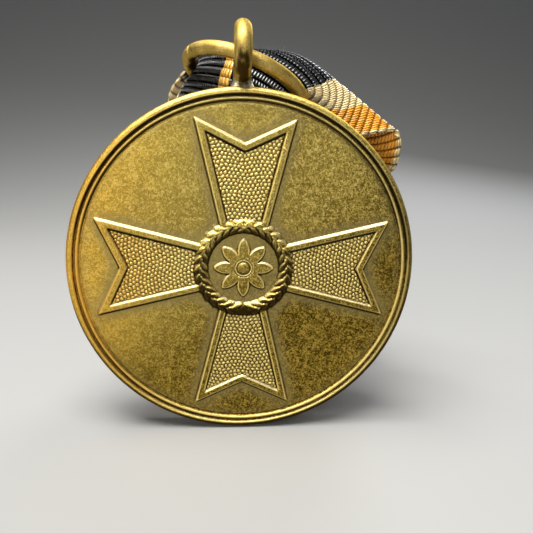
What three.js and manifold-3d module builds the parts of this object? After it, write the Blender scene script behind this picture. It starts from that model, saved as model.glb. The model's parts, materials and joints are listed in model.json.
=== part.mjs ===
// Round military service medal: a struck disc, a brazed eyelet, a suspension ring and its ribbon.
// Millimetres. +X to the right, +Y to the back (the obverse faces -Y), +Z up.
// The origin is the lowest point of the rim, at the middle of the disc's thickness.
import * as THREE from "three";
import { mergeVertices } from "three/addons/utils/BufferGeometryUtils.js";
import Module from "manifold-3d";

const wasm = await Module();
wasm.setup();

// ---------------------------------------------------------------- driving dimensions

const disc = {
  radius: 16.25,
  halfThickness: 1.2, // at the raised rim
  fieldHalfThickness: 0.85, // at the flat field
  fieldRadius: 15.0,
  ledgeHeight: 0.14, // inner rim step above the field
  ledgeWidth: 0.5,
  edgeRound: 0.25, // rounding of the rim's outer corners
  segments: 96,
};
disc.centreZ = disc.radius;

const cross = {
  tipRadius: 14.36, // from the disc's centre to each of the eight points
  tipHalfAngle: 18.74, // degrees, from the arm's axis to its point
  notchRadius: 11.42, // bottom of the V between an arm's two points
  rootRadius: 3.7, // where the arms end, under the wreath
  rootHalfWidth: 2.18,
  borderWidth: 0.75,
  borderHeight: 0.25, // above the field
  panelHeight: 0.1,
  bevel: 0.1,
};

const wreath = { radius: 4.0, halfWidth: 0.62, height: 0.33, leafClusters: 16 };

const rosette = {
  petals: 8,
  petalRadius: 1.65, // from the disc's centre to the middle of a petal
  petalLength: 1.15,
  petalWidth: 0.5,
  bossRadius: 0.75,
  height: 0.26,
};

const laurel = {
  radius: 11.2,
  leavesPerSide: 9,
  leafLength: 1.5,
  leafWidth: 0.55,
  height: 0.22,
  spread: 0.85, // between the stem's line and each row of leaves
};

// The loop stands a little left of the disc's middle.
const eyelet = { offsetX: -0.34, loopRadius: 1.93, wireRadius: 0.775, gapAboveRim: 0.2 };
eyelet.centreZ = 2 * disc.radius + eyelet.gapAboveRim + eyelet.wireRadius + eyelet.loopRadius;

const braze = { halfWidth: 1.15, height: 0.85, neckHalfWidth: 0.84, depthRatio: 0.8, clearance: 0.02 };

const ring = {
  radius: 5.9,
  wireRadius: 0.65,
  centre: new THREE.Vector3(0.18, 5.93, 33.53),
  normal: new THREE.Vector3(0.335, 0.256, 0.907).normalize(),
  seamAngle: 208, // degrees round the ring from its right-hand end
  seamGap: 0.12,
};

const ribbon = { thickness: 0.4, acrossSegments: 18 };

// ---------------------------------------------------------------- solids

// Turns a closed three.js geometry into a manifold-3d solid.
function solid(geometry) {
  const plain = geometry.clone();
  plain.deleteAttribute("normal");
  plain.deleteAttribute("uv");
  const merged = mergeVertices(plain, 1e-4);
  return new wasm.Manifold(
    new wasm.Mesh({
      numProp: 3,
      vertProperties: new Float32Array(merged.attributes.position.array),
      triVerts: new Uint32Array(merged.index.array),
    }),
  );
}

// Turns a manifold-3d solid back into a three.js geometry.
function geometryOf(body) {
  const mesh = body.getMesh();
  const geometry = new THREE.BufferGeometry();
  geometry.setAttribute("position", new THREE.BufferAttribute(new Float32Array(mesh.vertProperties), 3));
  geometry.setIndex(new THREE.BufferAttribute(new Uint32Array(mesh.triVerts), 1));
  geometry.computeVertexNormals();
  return geometry;
}

// A low dome: an ellipsoid that stands on a face of the disc.
// x and z are measured from the disc's centre, side is -1 for the obverse and +1 for the reverse.
function dome(x, z, length, width, height, angle, side) {
  const geometry = new THREE.SphereGeometry(1, 8, 6);
  geometry.scale(width, height, length);
  geometry.rotateY(angle);
  geometry.translate(x, side * disc.fieldHalfThickness, disc.centreZ + z);
  return solid(geometry);
}

// Moves every edge of a counter-clockwise polygon inwards by a distance.
function inset(points, distance) {
  const count = points.length;
  const lines = points.map((start, i) => {
    const along = points[(i + 1) % count].clone().sub(start).normalize();
    const inward = new THREE.Vector2(-along.y, along.x);
    return { start: start.clone().addScaledVector(inward, distance), along };
  });
  return lines.map((line, i) => {
    const before = lines[(i + count - 1) % count];
    const gap = line.start.clone().sub(before.start);
    const turn = before.along.cross(line.along);
    return before.start.clone().addScaledVector(before.along, gap.cross(line.along) / turn);
  });
}

// ---------------------------------------------------------------- struck disc

// Half of the disc's section, from the obverse centre round the rim to the reverse centre.
function discProfile() {
  const field = disc.fieldHalfThickness;
  const ledge = field + disc.ledgeHeight;
  const top = disc.halfThickness;
  const ledgeEnd = disc.fieldRadius + disc.ledgeWidth;
  const half = [
    [0, field],
    [disc.fieldRadius, field],
    [disc.fieldRadius + 0.06, ledge],
    [ledgeEnd, ledge],
    [ledgeEnd + 0.1, top],
    [disc.radius - disc.edgeRound, top],
    [disc.radius - 0.3 * disc.edgeRound, top - 0.3 * disc.edgeRound],
    [disc.radius, top - disc.edgeRound],
  ];
  const obverse = half.map(([r, h]) => new THREE.Vector2(r, -h));
  const reverse = half.map(([r, h]) => new THREE.Vector2(r, h)).reverse();
  return [...obverse, ...reverse];
}

// Outline of the upper arm of the cross, counter-clockwise, from the disc's centre.
function armOutline() {
  const half = THREE.MathUtils.degToRad(cross.tipHalfAngle);
  const tipX = cross.tipRadius * Math.sin(half);
  const tipY = cross.tipRadius * Math.cos(half);
  return [
    new THREE.Vector2(-cross.rootHalfWidth, cross.rootRadius),
    new THREE.Vector2(cross.rootHalfWidth, cross.rootRadius),
    new THREE.Vector2(tipX, tipY),
    new THREE.Vector2(0, cross.notchRadius),
    new THREE.Vector2(-tipX, tipY),
  ];
}

// One arm: a bevelled border round a sunken panel, turned about the disc's centre.
function crossArm(turn) {
  const outline = armOutline();
  const border = new THREE.Shape(inset(outline, cross.bevel));
  border.holes.push(new THREE.Path(inset(outline, cross.borderWidth - cross.bevel)));
  const sink = 0.3; // how far the arm reaches down into the disc
  const frame = new THREE.ExtrudeGeometry(border, {
    depth: sink + cross.borderHeight - cross.bevel,
    bevelEnabled: true,
    bevelSegments: 1,
    bevelSize: cross.bevel,
    bevelThickness: cross.bevel,
  });
  const plate = new THREE.ExtrudeGeometry(new THREE.Shape(inset(outline, 0.3)), {
    depth: sink + cross.panelHeight,
    bevelEnabled: false,
  });
  return [frame, plate].map((geometry) => {
    geometry.rotateX(Math.PI / 2);
    geometry.translate(0, -disc.fieldHalfThickness + sink, 0);
    geometry.rotateY(turn);
    geometry.translate(0, 0, disc.centreZ);
    return solid(geometry);
  });
}

// The wreath: a low ring carrying bunches of leaves.
function wreathBodies() {
  const bandHalfWidth = 0.8 * wreath.halfWidth;
  const band = new THREE.TorusGeometry(wreath.radius, bandHalfWidth, 8, 48);
  band.scale(1, 1, (0.75 * wreath.height) / bandHalfWidth);
  band.rotateX(Math.PI / 2);
  band.translate(0, -disc.fieldHalfThickness, disc.centreZ);
  const clusters = Array.from({ length: wreath.leafClusters }, (_, i) => {
    const angle = (2 * Math.PI * (i + 0.5)) / wreath.leafClusters;
    return dome(
      wreath.radius * Math.sin(angle),
      wreath.radius * Math.cos(angle),
      wreath.halfWidth,
      0.5,
      wreath.height,
      angle,
      -1,
    );
  });
  return [solid(band), ...clusters];
}

// The rosette at the centre: a boss inside a ring of petals.
function rosetteBodies() {
  const petals = Array.from({ length: rosette.petals }, (_, i) => {
    const angle = (2 * Math.PI * i) / rosette.petals;
    return dome(
      rosette.petalRadius * Math.sin(angle),
      rosette.petalRadius * Math.cos(angle),
      rosette.petalLength,
      rosette.petalWidth,
      rosette.height * 0.8,
      angle,
      -1,
    );
  });
  return [dome(0, 0, rosette.bossRadius, rosette.bossRadius, rosette.height, 0, -1), ...petals];
}

// Two laurel sprays on the reverse, rising from the bottom towards an open top.
function laurelBodies() {
  const leaves = [];
  for (const side of [-1, 1]) {
    for (let i = 0; i < laurel.leavesPerSide; i += 1) {
      const angle = Math.PI - side * (0.2 + (i * 2.25) / (laurel.leavesPerSide - 1));
      for (const row of [-1, 1]) {
        const r = laurel.radius + row * laurel.spread;
        const lean = angle + side * (Math.PI / 2 + row * 0.45);
        const x = r * Math.sin(angle);
        const z = r * Math.cos(angle);
        leaves.push(dome(x, z, laurel.leafLength, laurel.leafWidth, laurel.height, lean, 1));
      }
    }
  }
  return leaves;
}

function struckDisc() {
  const blank = new THREE.LatheGeometry(discProfile(), disc.segments);
  blank.translate(0, 0, disc.centreZ);
  const arms = [0, 1, 2, 3].flatMap((quarter) => crossArm((quarter * Math.PI) / 2));
  return geometryOf(
    wasm.Manifold.union([solid(blank), ...arms, ...wreathBodies(), ...rosetteBodies(), ...laurelBodies()]),
  );
}

// ---------------------------------------------------------------- eyelet, braze and ring

function eyeletLoop(extra = 0) {
  const loop = new THREE.TorusGeometry(eyelet.loopRadius, eyelet.wireRadius + extra, 12, 28);
  loop.rotateY(Math.PI / 2);
  loop.translate(eyelet.offsetX, 0, eyelet.centreZ);
  return loop;
}

// A flared fillet of braze that joins the loop to the top of the rim.
function eyeletBraze() {
  const rimTop = 2 * disc.radius;
  const steps = 6;
  const profile = [new THREE.Vector2(0, -0.2), new THREE.Vector2(braze.halfWidth, -0.2)];
  for (let i = 0; i <= steps; i += 1) {
    const rise = i / steps;
    const flare = (braze.halfWidth - braze.neckHalfWidth) * (1 - rise) ** 2.2;
    profile.push(new THREE.Vector2(braze.neckHalfWidth + flare, rise * braze.height));
  }
  profile.push(new THREE.Vector2(0, braze.height));
  const skirt = new THREE.LatheGeometry(profile, 28);
  skirt.rotateX(Math.PI / 2);
  skirt.scale(1, braze.depthRatio, 1);
  skirt.translate(eyelet.offsetX, 0, rimTop);
  const rimRadius = disc.radius + braze.clearance;
  const rim = new THREE.CylinderGeometry(rimRadius, rimRadius, 4, disc.segments);
  rim.translate(0, 0, disc.centreZ);
  return geometryOf(solid(skirt).subtract(solid(rim)).subtract(solid(eyeletLoop(braze.clearance))));
}

// The ring's own axes: right along its plane, back from the eyelet towards the far arc, and normal.
const ringAxes = { normal: ring.normal };
ringAxes.back = ring.centre.clone().sub(new THREE.Vector3(0, 0.28, 35.2));
ringAxes.back.addScaledVector(ring.normal, -ringAxes.back.dot(ring.normal)).normalize();
ringAxes.right = ringAxes.back.clone().cross(ring.normal);

// A point given as distances right, back and above the centre of the ring.
function fromRing(right, back, above) {
  return ring.centre
    .clone()
    .addScaledVector(ringAxes.right, right)
    .addScaledVector(ringAxes.back, back)
    .addScaledVector(ringAxes.normal, above);
}

// A ring bent from round wire, its two ends butted at a narrow seam.
function suspensionRing() {
  const loop = new THREE.TorusGeometry(ring.radius, ring.wireRadius, 10, 56);
  const cut = new THREE.BoxGeometry(2.5 * ring.wireRadius, ring.seamGap, 2.5 * ring.wireRadius);
  cut.translate(ring.radius, 0, 0);
  cut.rotateZ(THREE.MathUtils.degToRad(ring.seamAngle));
  const open = geometryOf(solid(loop).subtract(solid(cut)));
  const placing = new THREE.Matrix4().makeBasis(ringAxes.right, ringAxes.back, ringAxes.normal);
  return open.applyMatrix4(placing.setPosition(ring.centre));
}

// ---------------------------------------------------------------- ribbon

const at = (x, y, z) => new THREE.Vector3(x, y, z);

// Crossings of the ribbon, in order from its front end, up through the ring and down to its rear end.
// Each crossing runs from the left selvedge, by the left edge of the dark stripe, the centre line, a
// place halfway over the right half of the dark stripe and its right edge, to the right selvedge.
const crossings = [
  // front end, hanging behind the disc
  [
    at(-14.7, 2.7, 8.0), at(-7, 2.4, 8.0), at(0, 2.3, 8.0),
    at(3.5, 2.3, 8.0), at(7, 2.4, 8.0), at(14.7, 2.7, 8.0),
  ],
  [
    at(-14, 2.9, 17), at(-7, 2.4, 16.5), at(-0.5, 2.4, 16.5),
    at(3.0, 2.4, 16.5), at(6.5, 2.4, 16.5), at(13.6, 2.9, 17),
  ],
  [
    at(-10, 5.2, 25), at(-6.8, 3.2, 25), at(-1.2, 2.8, 25.5),
    at(2.3, 2.7, 25.4), at(5.4, 3.2, 25), at(9.4, 5.2, 24),
  ],
  [
    at(-5, 8, 30.4), at(-6.4, 4.4, 30.9), at(-2.1, 3.9, 31),
    at(1.8, 3.9, 30.5), at(5, 4.6, 29.4), at(4.6, 7.4, 28),
  ],
  // gathered under, inside and above the ring
  [
    fromRing(-3.4, 4.2, -1.8), fromRing(-5.5, 0.6, -1.9), fromRing(-1.8, -1.6, -1.5),
    fromRing(2.2, -1.2, -1.6), fromRing(5.2, 0.6, -1.7), fromRing(3, 4, -1.8),
  ],
  [
    fromRing(-1.5, 4.3, 0), fromRing(-4.95, 0.7, -0.1), fromRing(-1.9, -1.7, 0),
    fromRing(1.6, -0.9, 0.2), fromRing(4.2, 1.3, 0), fromRing(1.8, 4.2, 0),
  ],
  [
    fromRing(-3.2, 5.2, 1.5), fromRing(-5.4, 1.9, 1.45), fromRing(-1.8, -0.8, 2.3),
    fromRing(2.4, -0.2, 2.9), fromRing(5.6, 1.2, 1.7), fromRing(5, 3.8, 1.6),
  ],
  // fanned out over the far side of the ring
  [
    fromRing(-5.1, 5.8, -1.1), fromRing(-6.4, 2.9, 0.5), fromRing(-0.6, 0.9, 3.5),
    fromRing(3.4, 0.7, 4.4), fromRing(7.2, 1.7, 2.9), fromRing(11.4, 3.2, -0.2),
  ],
  [
    fromRing(-6.5, 6.8, -4.7), fromRing(-7.25, 4.2, -1), fromRing(0.2, 2.8, 4.3),
    fromRing(4.5, 2.6, 5.4), fromRing(8.7, 3.0, 4.6), fromRing(16.5, 3.5, 2.0),
  ],
  [
    fromRing(-6.8, 7.8, -5.4), fromRing(-6.75, 6.2, -1), fromRing(1.2, 6.4, 3.8),
    fromRing(5.2, 6.1, 4.5), fromRing(9.1, 5.7, 3.6), fromRing(18.0, 5.2, -0.6),
  ],
  // rear end, hanging free
  [
    at(-9.3, 12.6, 24.2), at(-5.4, 13.6, 27.5), at(2, 14.2, 29),
    at(5.8, 14.0, 28.6), at(9.4, 13.4, 27.5), at(16.6, 12, 23),
  ],
  [
    at(-12.6, 11.9, 16.5), at(-5.2, 12.4, 16.5), at(2, 12.6, 16.5),
    at(5.6, 12.5, 16.5), at(9.2, 12.4, 16.5), at(16.5, 11.9, 16),
  ],
  [
    at(-13.2, 11.9, 6), at(-5.4, 12.3, 6), at(1.8, 12.5, 6),
    at(5.4, 12.4, 6), at(9, 12.3, 6), at(16.5, 11.9, 6),
  ],
];

const lastPlace = crossings[0].length - 1;

// Smooth curve through evenly numbered points, at a fractional point number.
function throughPoints(points, t) {
  const last = points.length - 1;
  const i = Math.min(Math.floor(t), last - 1);
  const f = t - i;
  const p1 = points[i];
  const p2 = points[i + 1];
  const p0 = i > 0 ? points[i - 1] : p1.clone().multiplyScalar(2).sub(p2);
  const p3 = i + 2 <= last ? points[i + 2] : p2.clone().multiplyScalar(2).sub(p1);
  return new THREE.Vector3()
    .addScaledVector(p0, 0.5 * (-f + 2 * f * f - f ** 3))
    .addScaledVector(p1, 0.5 * (2 - 5 * f * f + 3 * f ** 3))
    .addScaledVector(p2, 0.5 * (f + 4 * f * f - 3 * f ** 3))
    .addScaledVector(p3, 0.5 * (-f * f + f ** 3));
}

// Middle of the ribbon: across from 0 to lastPlace between the selvedges, along in crossings.
function ribbonPoint(across, along) {
  return throughPoints(
    crossings.map((crossing) => throughPoints(crossing, across)),
    along,
  );
}

function ribbonNormal(across, along) {
  const step = 0.02;
  const last = crossings.length - 1;
  const a0 = Math.max(across - step, 0);
  const a1 = Math.min(across + step, lastPlace);
  const l0 = Math.max(along - step, 0);
  const l1 = Math.min(along + step, last);
  const acrossWay = ribbonPoint(a1, along).sub(ribbonPoint(a0, along));
  const alongWay = ribbonPoint(across, l1).sub(ribbonPoint(across, l0));
  return acrossWay.cross(alongWay).normalize();
}

// A closed strip of the ribbon between two places along it.
function ribbonStrip(from, to, alongSegments) {
  const columns = ribbon.acrossSegments + 1;
  const rows = alongSegments + 1;
  const positions = [];
  for (const face of [1, -1]) {
    for (let row = 0; row < rows; row += 1) {
      const along = from + ((to - from) * row) / alongSegments;
      for (let column = 0; column < columns; column += 1) {
        const across = (lastPlace * column) / ribbon.acrossSegments;
        const lift = ribbonNormal(across, along).multiplyScalar((face * ribbon.thickness) / 2);
        positions.push(...ribbonPoint(across, along).add(lift).toArray());
      }
    }
  }
  const index = [];
  const front = (row, column) => row * columns + column;
  const back = (row, column) => rows * columns + front(row, column);
  const quad = (a, b, c, d) => index.push(a, b, c, a, c, d);
  for (let row = 0; row < alongSegments; row += 1) {
    for (let column = 0; column < ribbon.acrossSegments; column += 1) {
      quad(front(row, column), front(row, column + 1), front(row + 1, column + 1), front(row + 1, column));
      quad(back(row, column), back(row + 1, column), back(row + 1, column + 1), back(row, column + 1));
    }
    const end = ribbon.acrossSegments;
    quad(front(row, 0), front(row + 1, 0), back(row + 1, 0), back(row, 0));
    quad(front(row, end), back(row, end), back(row + 1, end), front(row + 1, end));
  }
  for (let column = 0; column < ribbon.acrossSegments; column += 1) {
    const end = alongSegments;
    quad(front(0, column), back(0, column), back(0, column + 1), front(0, column + 1));
    quad(front(end, column), front(end, column + 1), back(end, column + 1), back(end, column));
  }
  const geometry = new THREE.BufferGeometry();
  geometry.setAttribute("position", new THREE.Float32BufferAttribute(positions, 3));
  geometry.setIndex(index);
  geometry.computeVertexNormals();
  return geometry;
}

const frontJoint = 1.2; // where the front tail bends from the rest, in crossings
const rearJoint = 10.7; // where the rear tail does
const jointGap = 0.04; // about 0.4 mm

// ---------------------------------------------------------------- materials and assembly

const bronze = new THREE.MeshStandardMaterial({ color: 0x9a8440, roughness: 0.45, metalness: 0.9 });
const brightBronze = new THREE.MeshStandardMaterial({ color: 0xa8924c, roughness: 0.35, metalness: 0.9 });
const solder = new THREE.MeshStandardMaterial({ color: 0xb4a676, roughness: 0.4, metalness: 0.8 });
const cloth = new THREE.MeshStandardMaterial({ color: 0x2a2c34, roughness: 0.85, metalness: 0.0 });

const medal = new THREE.Group();

function addPart(name, geometry, material) {
  const mesh = new THREE.Mesh(geometry, material);
  mesh.name = name;
  medal.add(mesh);
}

addPart("struck_disc", struckDisc(), bronze);
addPart("eyelet_loop", eyeletLoop(), brightBronze);
addPart("eyelet_braze", eyeletBraze(), solder);
addPart("suspension_ring", suspensionRing(), brightBronze);
addPart("ribbon_front_tail", ribbonStrip(0, frontJoint - jointGap / 2, 4), cloth);
addPart("ribbon_over_ring", ribbonStrip(frontJoint + jointGap / 2, rearJoint - jointGap / 2, 38), cloth);
addPart("ribbon_rear_tail", ribbonStrip(rearJoint + jointGap / 2, crossings.length - 1, 4), cloth);

export default medal;
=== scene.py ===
"""The look of a round service medal: a struck bronze disc, its eyelet and ring, and a striped ribbon.

Lengths are in millimetres; mesh_object() and place() turn them into metres for Blender.
The row frame has +X to the right, +Y to the back and +Z up. The disc's own plan has x to the
right and y up from the disc's centre, and a height that is measured outwards from mid-thickness.
"""

import json
import math

import bpy
import numpy as np
from mathutils import Matrix, Vector
from mathutils.geometry import delaunay_2d_cdt


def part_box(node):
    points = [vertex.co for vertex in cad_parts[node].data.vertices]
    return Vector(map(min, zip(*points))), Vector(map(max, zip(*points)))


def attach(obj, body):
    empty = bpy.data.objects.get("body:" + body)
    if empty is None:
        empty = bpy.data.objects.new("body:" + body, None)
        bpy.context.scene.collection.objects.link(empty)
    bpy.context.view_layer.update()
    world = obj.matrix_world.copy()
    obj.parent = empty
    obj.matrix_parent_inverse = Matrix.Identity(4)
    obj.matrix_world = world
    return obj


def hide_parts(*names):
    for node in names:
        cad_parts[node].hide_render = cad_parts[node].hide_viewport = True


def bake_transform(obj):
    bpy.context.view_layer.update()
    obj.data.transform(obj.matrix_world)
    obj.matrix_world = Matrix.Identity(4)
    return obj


MM = 0.001
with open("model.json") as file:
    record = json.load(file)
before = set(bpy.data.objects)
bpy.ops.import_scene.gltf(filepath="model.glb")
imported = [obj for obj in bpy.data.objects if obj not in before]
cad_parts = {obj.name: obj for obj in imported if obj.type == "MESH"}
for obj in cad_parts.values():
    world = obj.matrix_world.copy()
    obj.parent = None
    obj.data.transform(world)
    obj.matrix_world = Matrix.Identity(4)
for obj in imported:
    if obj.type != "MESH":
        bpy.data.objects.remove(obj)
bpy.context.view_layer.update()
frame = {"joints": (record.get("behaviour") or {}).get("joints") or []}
random = np.random.default_rng(12)

# ---------------------------------------------------------------- small helpers


def box_mm(node):
    """The lowest and highest corner of a CAD node, in millimetres."""
    low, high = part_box(node)
    return np.array(low) / MM, np.array(high) / MM


def joint(name):
    """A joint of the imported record, by its name."""
    return next(j for j in frame["joints"] if j["name"] == name)


def unit(vector):
    vector = np.asarray(vector, float)
    return vector / np.linalg.norm(vector, axis=-1, keepdims=True)


def smoothstep(low, high, value):
    t = np.clip((value - low) / (high - low), 0, 1)
    return t * t * (3 - 2 * t)


def place(point):
    """A point in metres."""
    return tuple(float(c) * MM for c in point)


def mesh_object(name, points, faces, material, attributes=None):
    """A mesh piece from points in millimetres. attributes holds a number or a vector for each point."""
    mesh = bpy.data.meshes.new(name)
    mesh.from_pydata((np.asarray(points, float) * MM).tolist(), [], faces)
    for key, values in (attributes or {}).items():
        values = np.asarray(values, np.float32)
        kind, field = ("FLOAT", "value") if values.ndim == 1 else ("FLOAT_VECTOR", "vector")
        layer = mesh.attributes.new(key, kind, "POINT")
        layer.data.foreach_set(field, values.ravel())
    mesh.polygons.foreach_set("use_smooth", [True] * len(mesh.polygons))
    mesh.materials.append(material)
    mesh.validate()
    piece = bpy.data.objects.new(name, mesh)
    bpy.context.scene.collection.objects.link(piece)
    return piece


def grid_faces(rows, columns, first=0, wrap_rows=False, wrap_columns=False, flip=False):
    """Quads between the points of a grid that is stored row by row."""
    r = np.arange(rows if wrap_rows else rows - 1)[:, None]
    c = np.arange(columns if wrap_columns else columns - 1)[None, :]
    r2, c2 = (r + 1) % rows, (c + 1) % columns
    corners = [r * columns + c, r * columns + c2, r2 * columns + c2, r2 * columns + c]
    quads = np.stack([np.broadcast_to(q, (r.shape[0], c.shape[1])) for q in corners], -1)
    quads = quads.reshape(-1, 4) + first
    return quads[:, ::-1].tolist() if flip else quads.tolist()


def ripple(angle, waves, size):
    """Smooth irregularity round a circle, the sum of a few waves with seeded phases."""
    total = np.zeros_like(angle)
    for wave in waves:
        total += np.cos(wave * angle + random.uniform(0, 2 * math.pi)) / len(waves)
    return size * total


# ---------------------------------------------------------------- node materials


class Material:
    """A node material that is written as one expression after another."""

    def __init__(self, name):
        self.data = bpy.data.materials.new(name)
        self.data.use_nodes = True
        self.nodes = self.data.node_tree.nodes
        self.links = self.data.node_tree.links
        self.shader = next(n for n in self.nodes if n.type == "BSDF_PRINCIPLED")

    def set(self, socket, value):
        if isinstance(value, bpy.types.NodeSocket):
            self.links.new(value, socket)
        elif isinstance(value, (tuple, list)) and socket.type == "RGBA":
            socket.default_value = (*value, 1.0)[:4]
        else:
            socket.default_value = value

    def node(self, kind, inputs=None, **settings):
        made = self.nodes.new(kind)
        for key, value in settings.items():
            setattr(made, key, value)
        for key, value in (inputs or {}).items():
            self.set(made.inputs[key], value)
        return made

    def math(self, operation, a, b=0.0):
        return self.node("ShaderNodeMath", {0: a, 1: b}, operation=operation).outputs[0]

    def mix(self, share, a, b):
        """Colour a where share is 0 and colour b where it is 1."""
        made = self.node("ShaderNodeMix", data_type="RGBA")
        self.set(made.inputs["Factor"], share)
        self.set(made.inputs["A"], a)
        self.set(made.inputs["B"], b)
        return made.outputs["Result"]

    def ramp(self, value, low, high, start=0.0, end=1.0):
        """value between low and high, as a smooth step from start to end."""
        made = self.node(
            "ShaderNodeMapRange",
            {"Value": value, "From Min": low, "From Max": high, "To Min": start, "To Max": end},
            interpolation_type="SMOOTHSTEP",
        )
        return made.outputs["Result"]

    def attribute(self, name):
        return self.node("ShaderNodeAttribute", attribute_name=name)

    def position(self):
        """The place on the piece, in millimetres."""
        coordinates = self.node("ShaderNodeTexCoord")
        return self.stretch(coordinates.outputs["Object"], (1 / MM, 1 / MM, 1 / MM))

    def stretch(self, vector, factors):
        made = self.node("ShaderNodeVectorMath", {0: vector, 1: factors}, operation="MULTIPLY")
        return made.outputs[0]

    def noise(self, vector, size, detail=3.0, roughness=0.55):
        """Noise whose largest features are about size across."""
        made = self.node(
            "ShaderNodeTexNoise",
            {
                "Vector": vector,
                "Scale": 1.0 / size,
                "Detail": detail,
                "Roughness": roughness,
            },
        )
        return made.outputs["Fac"]

    def bump(self, height, distance, strength=1.0, normal=None):
        made = self.node(
            "ShaderNodeBump", {"Height": height, "Distance": distance * MM, "Strength": strength}
        )
        if normal is not None:
            self.links.new(normal, made.inputs["Normal"])
        return made.outputs["Normal"]

    def finish(self, **inputs):
        for key, value in inputs.items():
            self.set(self.shader.inputs[key.replace("_", " ")], value)
        return self.data


def plain_material(name, colour, roughness):
    m = Material(name)
    return m.finish(Base_Color=colour, Roughness=roughness)


def bronze_material():
    """Struck bronze under an old olive-brown patina, dark in the corners and bright on the edges.

    The attribute relief holds how far a place lies in a sharp hollow, stands on an edge and lies in a
    broad hollow, in millimetres. The slope attribute holds how far a place faces down, negative where it
    faces up: slopes that face down are darkened as painted shade and slopes that face up are lightened
    as a painted highlight.
    """
    m = Material("patinated_bronze")
    where = m.position()
    relief = m.node("ShaderNodeSeparateXYZ", {0: m.attribute("relief").outputs["Vector"]})
    hollow, edge, halo = relief.outputs
    painted_light_slope = m.attribute("painted_light_slope").outputs["Fac"]
    broad = m.noise(where, 8.0, detail=2.0)
    cloud = m.noise(where, 1.6, detail=4.0, roughness=0.65)
    grain = m.noise(where, 0.19, detail=3.0, roughness=0.75)
    blotch = m.noise(where, 0.55, detail=4.0, roughness=0.7)
    fine = m.noise(where, 0.10, detail=2.0, roughness=0.6)
    side = m.node("ShaderNodeSeparateXYZ", {0: where})
    leftness = m.ramp(side.outputs["X"], -4.0, -15.0)
    # The face is darker towards the lower right, partly patina and partly painted shade.
    lowness = m.math("SUBTRACT", m.math("MULTIPLY", side.outputs["X"], 0.55), side.outputs["Z"])
    shaded = m.ramp(lowness, -22.0, -8.0)
    patchy = m.math("ADD", m.math("MULTIPLY", cloud, 0.5), m.math("MULTIPLY", broad, 0.5))
    gold = m.mix(leftness, (0.58, 0.44, 0.092), (0.86, 0.53, 0.070))
    # The face is darker towards its middle.
    centre = (0, 0, DISC_CENTRE_Z)
    from_centre = m.node("ShaderNodeVectorMath", {0: where, 1: centre}, operation="DISTANCE")
    darker_middle = m.mix(m.ramp(from_centre.outputs["Value"], 14.0, 6.5, 0.0, 0.36), gold, (0.33, 0.245, 0.048))
    mottled = m.mix(m.ramp(patchy, 0.62, 0.38, 0.0, 0.45), darker_middle, (0.26, 0.18, 0.034))
    base = m.mix(shaded, mottled, (0.30, 0.20, 0.026))
    speck = m.mix(shaded, (0.19, 0.13, 0.024), (0.050, 0.030, 0.005))
    glint = m.mix(shaded, (0.86, 0.66, 0.23), (0.52, 0.37, 0.075))
    brown = (0.020, 0.011, 0.003)
    rightness = m.math("MULTIPLY", side.outputs["X"], 0.06)
    coarse = m.ramp(m.math("ADD", shaded, rightness), -0.4, 1.2, 0.50, 0.95)
    pitted = m.math("ADD", grain, m.math("MULTIPLY", m.math("SUBTRACT", blotch, 0.5), 0.5))
    pitted = m.math("ADD", pitted, m.math("MULTIPLY", m.math("SUBTRACT", fine, 0.5), 0.8))
    speckled = m.mix(m.math("MULTIPLY", m.ramp(pitted, 0.55, 0.38), coarse), base, speck)
    shine = m.mix(m.math("MULTIPLY", m.ramp(pitted, 0.54, 0.68), coarse), speckled, glint)
    haloed = m.mix(m.ramp(halo, 0.0, 0.09, 0.0, 0.62), shine, (0.31, 0.245, 0.095))
    bright = m.mix(leftness, (0.88, 0.69, 0.24), (0.86, 0.49, 0.09))
    polished = m.mix(m.ramp(edge, 0.006, 0.030, 0.0, 0.9), haloed, bright)
    # Painted highlight on slopes that face up, then painted shade in dark brown on slopes that face down.
    upper = m.mix(m.ramp(painted_light_slope, -0.25, -1.2, 0.0, 0.9), polished, (1.0, 0.87, 0.52))
    painted_slope_shade = m.mix(m.ramp(painted_light_slope, 0.12, 0.9, 0.0, 0.93), upper, brown)
    colour = m.mix(m.ramp(hollow, 0.012, 0.070, 0.0, 0.93), painted_slope_shade, brown)
    rough = m.ramp(m.math("ADD", grain, m.math("MULTIPLY", hollow, 2.0)), 0.30, 0.75, 0.36, 0.58)
    normal = m.bump(grain, 0.055, 1.0)
    normal = m.bump(fine, 0.03, 0.8, normal)
    return m.finish(
        Base_Color=colour,
        Metallic=1.0,
        Roughness=rough,
        Normal=normal,
        Specular_Tint=(0.72, 0.55, 0.25),
    )


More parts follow.
